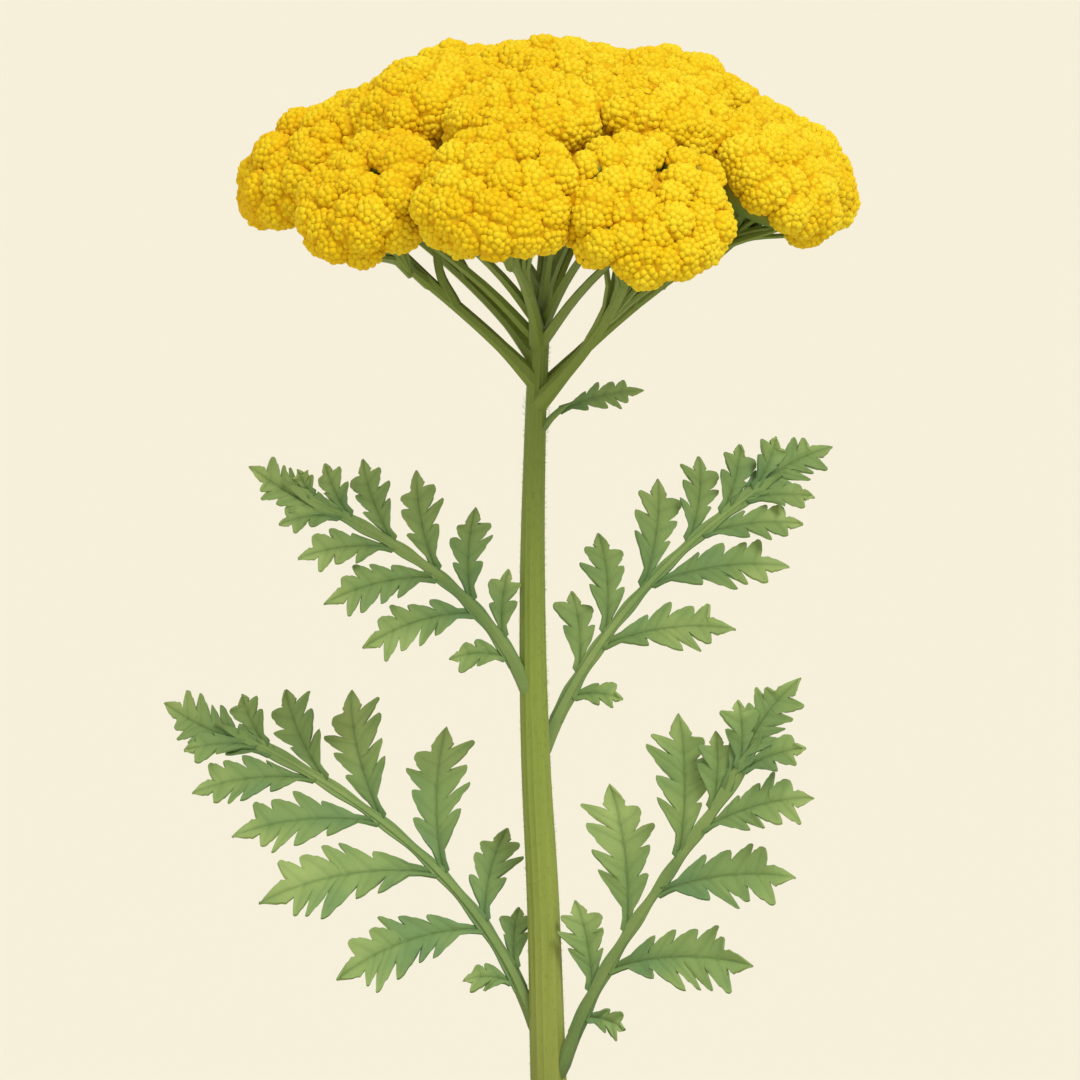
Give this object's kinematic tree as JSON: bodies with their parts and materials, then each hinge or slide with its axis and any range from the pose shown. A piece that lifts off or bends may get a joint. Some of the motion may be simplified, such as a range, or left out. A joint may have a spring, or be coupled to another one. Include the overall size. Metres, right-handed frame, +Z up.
{
  "type": "potted yarrow plant",
  "caption": "Yarrow plant with a domed head of golden florets on a branching stem, lobed feather leaves and a low rosette, growing in compost in a plain tapered clay pot.",
  "frame": {"origin": "centre of the pot's foot, on the surface that it stands on", "axes": "+Z up, +X to the right and -Y towards the viewer of the picture"},
  "size_m": [0.155, 0.1489, 0.3605],
  "materials": {
    "clay": "matte",
    "compost": "matte",
    "stem": "satin",
    "leaf": "matte",
    "floret": "matte"
  },
  "bodies": {
    "root": {"pot": "clay", "compost": "compost", "stem": "stem", "flower_cluster_01": "floret", "flower_cluster_02": "floret", "flower_cluster_03": "floret", "flower_cluster_04": "floret", "flower_cluster_05": "floret", "flower_cluster_06": "floret", "flower_cluster_07": "floret", "flower_cluster_08": "floret", "flower_cluster_09": "floret", "flower_cluster_10": "floret", "flower_cluster_11": "floret", "flower_cluster_12": "floret", "flower_cluster_13": "floret", "flower_cluster_14": "floret", "flower_cluster_15": "floret", "flower_cluster_16": "floret", "flower_cluster_17": "floret", "stem_leaf_lower_left": "leaf", "stem_leaf_lower_right": "leaf", "stem_leaf_upper_left": "leaf", "stem_leaf_upper_right": "leaf", "bract_leaf": "leaf", "low_leaf_1": "leaf", "low_leaf_2": "leaf", "low_leaf_3": "leaf", "low_leaf_4": "leaf", "low_leaf_5": "leaf"}
  },
  "joints": []
}
